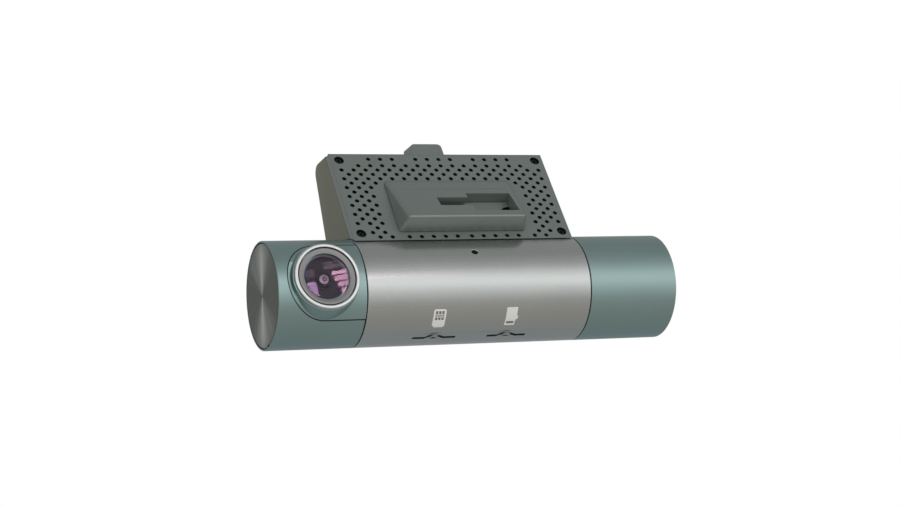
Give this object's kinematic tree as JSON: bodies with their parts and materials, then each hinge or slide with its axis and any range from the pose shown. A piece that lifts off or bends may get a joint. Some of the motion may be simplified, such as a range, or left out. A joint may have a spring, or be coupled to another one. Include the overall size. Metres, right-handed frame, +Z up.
{
  "type": "dash camera",
  "caption": "Cylindrical two-channel dash camera with turning camera ends, a leaning vented electronics box and a wedge cleat for a windshield bracket.",
  "frame": {"origin": "on the flat bracket face of the cleat, on the middle plane of the electronics box, between the bracket slot and the ridge above it", "axes": "+X along the barrel from the road camera to the cabin camera, -Y towards the road, +Z up"},
  "size_m": [0.1424, 0.0575, 0.0675],
  "materials": {
    "brushed_silver": "brushed along the barrel, satin",
    "teal_anodised": "anodised grey-green, satin",
    "spun_cap": "spun in circles, satin",
    "grey_plastic": "fine moulded grain",
    "olive_plastic": "fine moulded grain",
    "black_plastic": "fine moulded grain",
    "bright_ring": "turned and polished",
    "trim_grey": "satin paint",
    "screw_steel": "blackened",
    "spring_steel": "plain",
    "lens_glass": "coated, dark",
    "circuit_board": "solder mask",
    "shield_can": "tinned",
    "antenna_ceramic": "ceramic",
    "bare_aluminium": "extruded",
    "silicone_pad": "soft",
    "button_red": "fine moulded grain",
    "light_pipe": "clear",
    "cable_black": "sleeve",
    "flex_amber": "polyimide"
  },
  "bodies": {
    "main_body": {"centre_tube": "brushed_silver", "rear_housing": "olive_plastic", "vent_plate": "grey_plastic", "plate_screw_1": "screw_steel", "plate_screw_2": "screw_steel", "plate_screw_3": "screw_steel", "plate_screw_4": "screw_steel", "bracket_cleat": "grey_plastic", "front_bulkhead": "black_plastic", "front_friction_washer": "spring_steel", "cabin_bulkhead": "black_plastic", "cabin_friction_washer": "spring_steel", "main_board": "circuit_board", "processor": "black_plastic", "thermal_pad": "silicone_pad", "heat_spreader": "bare_aluminium", "cellular_modem": "shield_can", "gps_antenna": "antenna_ceramic", "backup_capacitor_1": "black_plastic", "backup_capacitor_2": "black_plastic", "speaker": "black_plastic", "power_socket": "shield_can", "sim_socket": "shield_can", "memory_card_socket": "shield_can", "card_board": "circuit_board", "board_link_flex": "flex_amber", "microphone": "black_plastic", "button_switch": "black_plastic", "button_board": "circuit_board", "status_light": "light_pipe", "front_camera_cable": "cable_black", "cabin_camera_cable": "cable_black"},
    "front_camera": {"front_barrel_cover": "teal_anodised", "front_end_cap": "spun_cap", "front_pivot_hub": "black_plastic", "front_retaining_ring": "spring_steel", "lens_housing": "teal_anodised", "lens_bezel_ring": "bright_ring", "lens_trim_ring": "trim_grey", "lens_cover_glass": "lens_glass", "lens_mask": "black_plastic", "lens_barrel": "black_plastic", "lens_front_element": "lens_glass", "front_sensor_board": "circuit_board"},
    "cabin_camera": {"cabin_barrel_cover": "teal_anodised", "cabin_end_cap": "spun_cap", "cabin_pivot_hub": "black_plastic", "cabin_retaining_ring": "spring_steel", "cabin_bezel": "black_plastic", "cabin_lens_glass": "lens_glass", "cabin_camera_board": "circuit_board", "cabin_lens_barrel": "black_plastic", "infrared_led_1": "light_pipe", "infrared_led_2": "light_pipe", "infrared_led_3": "light_pipe", "infrared_led_4": "light_pipe"},
    "event_button": {"event_button": "button_red"}
  },
  "joints": [
    {"name": "front_camera_turn", "type": "hinge", "parent": "main_body", "child": "front_camera", "pos_m": [-0.0403, -0.00493, -0.0329], "axis": [-1, 0, 0], "range_deg": [-46, 24]},
    {"name": "cabin_camera_turn", "type": "hinge", "parent": "main_body", "child": "cabin_camera", "pos_m": [0.0403, -0.00493, -0.0329], "axis": [-1, 0, 0], "range_deg": [-30, 30]},
    {"name": "event_button_press", "type": "slide", "parent": "main_body", "child": "event_button", "axis": [0, -0.9397, 0.342], "range_m": [0, 0.0006], "stiffness_N_per_m": 800}
  ]
}
